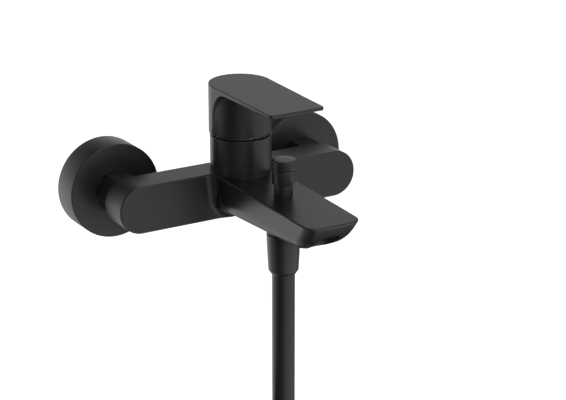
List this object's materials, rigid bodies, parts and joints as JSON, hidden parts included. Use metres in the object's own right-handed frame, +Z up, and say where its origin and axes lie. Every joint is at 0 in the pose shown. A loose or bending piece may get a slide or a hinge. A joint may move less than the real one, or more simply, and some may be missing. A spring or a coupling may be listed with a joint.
{
  "type": "wall mounted bath faucet",
  "caption": "Wall mounted bath faucet: flat rounded bar between two round escutcheons, tapering spout with pull diverter, single lever on top, hose hanging below.",
  "frame": {"origin": "on the wall plane, midway between the two inlets, at the height of the inlet nuts' axes", "axes": "+Z up, +X to the right along the bar, +Y into the wall, so the spout points along -Y"},
  "size_m": [0.3071, 0.2072, 0.5634],
  "materials": {
    "matt_black": "matt black powder coat with a soft satin sheen",
    "hose_black": "smooth satin black hose jacket",
    "brass": "machined",
    "steel": "turned",
    "rubber": "moulded",
    "ceramic": "polished ceramic",
    "grey_plastic": "moulded",
    "pale_plastic": "moulded"
  },
  "bodies": {
    "faucet": {"body": "matt_black", "cartridge_base": "pale_plastic", "fixed_disc": "ceramic", "cartridge_housing": "pale_plastic", "retaining_nut": "brass", "port_seal_hot": "rubber", "port_seal_cold": "rubber", "port_seal_mixed": "rubber", "seam_ring": "rubber", "diverter_bush": "matt_black", "diverter_rod_seal": "rubber", "jet_housing": "matt_black", "jet_insert": "grey_plastic", "jet_seal": "rubber", "wall_union_left": "brass", "escutcheon_left": "matt_black", "union_nut_left": "matt_black", "escutcheon_seal_left": "rubber", "strainer_washer_left": "rubber", "body_tail_left": "brass", "check_valve_left": "grey_plastic", "wall_union_right": "brass", "escutcheon_right": "matt_black", "union_nut_right": "matt_black", "escutcheon_seal_right": "rubber", "strainer_washer_right": "rubber", "body_tail_right": "brass", "check_valve_right": "grey_plastic", "shower_nipple": "matt_black", "hose_nut": "matt_black", "hose_washer": "rubber", "hose_ferrule": "brass", "hose_run": "hose_black", "hose_coil": "hose_black", "coil_tie": "rubber", "hose_tail": "hose_black", "hose_end_ferrule": "brass", "hose_end_nut": "matt_black", "hose_end_washer": "rubber"},
    "rotor": {"rotor_fork": "grey_plastic", "pivot_pin": "steel"},
    "lever": {"handle": "matt_black", "lever_stem": "steel", "lever_grub_screw": "steel", "index_plug": "grey_plastic"},
    "discs": {"moving_disc": "ceramic", "disc_carrier": "pale_plastic"},
    "diverter": {"diverter_sleeve": "matt_black", "diverter_cap": "matt_black", "diverter_rod": "steel", "diverter_poppet": "brass", "diverter_poppet_seal": "rubber", "diverter_spring": "steel"},
    "poppet_left": {"check_poppet_left": "pale_plastic"},
    "poppet_right": {"check_poppet_right": "pale_plastic"}
  },
  "joints": [
    {"name": "lever_turn", "type": "hinge", "parent": "faucet", "child": "rotor", "pos_m": [0, -0.0666, 0.046], "axis": [0, 0, 1], "range_deg": [-50, 50]},
    {"name": "lever_lift", "type": "hinge", "parent": "rotor", "child": "lever", "pos_m": [0, -0.0606, 0.046], "axis": [-1, 0, 0], "range_deg": [0, 18]},
    {"name": "disc_slide", "type": "slide", "parent": "rotor", "child": "discs", "axis": [0, -1, 0], "range_m": [0, 0.00705]},
    {"name": "diverter_pull", "type": "slide", "parent": "faucet", "child": "diverter", "axis": [0, 0, 1], "range_m": [0, 0.008], "stiffness_N_per_m": 150, "springref_m": -0.01, "deforming": ["diverter_spring"]},
    {"name": "check_left_open", "type": "slide", "parent": "faucet", "child": "poppet_left", "axis": [0, -1, 0], "range_m": [0, 0.002], "stiffness_N_per_m": 10, "springref_m": -0.005},
    {"name": "check_right_open", "type": "slide", "parent": "faucet", "child": "poppet_right", "axis": [0, -1, 0], "range_m": [0, 0.002], "stiffness_N_per_m": 10, "springref_m": -0.005}
  ],
  "couplings": [
    {"joint": "disc_slide", "follows": "lever_lift", "m_per_rad": 0.02225}
  ]
}
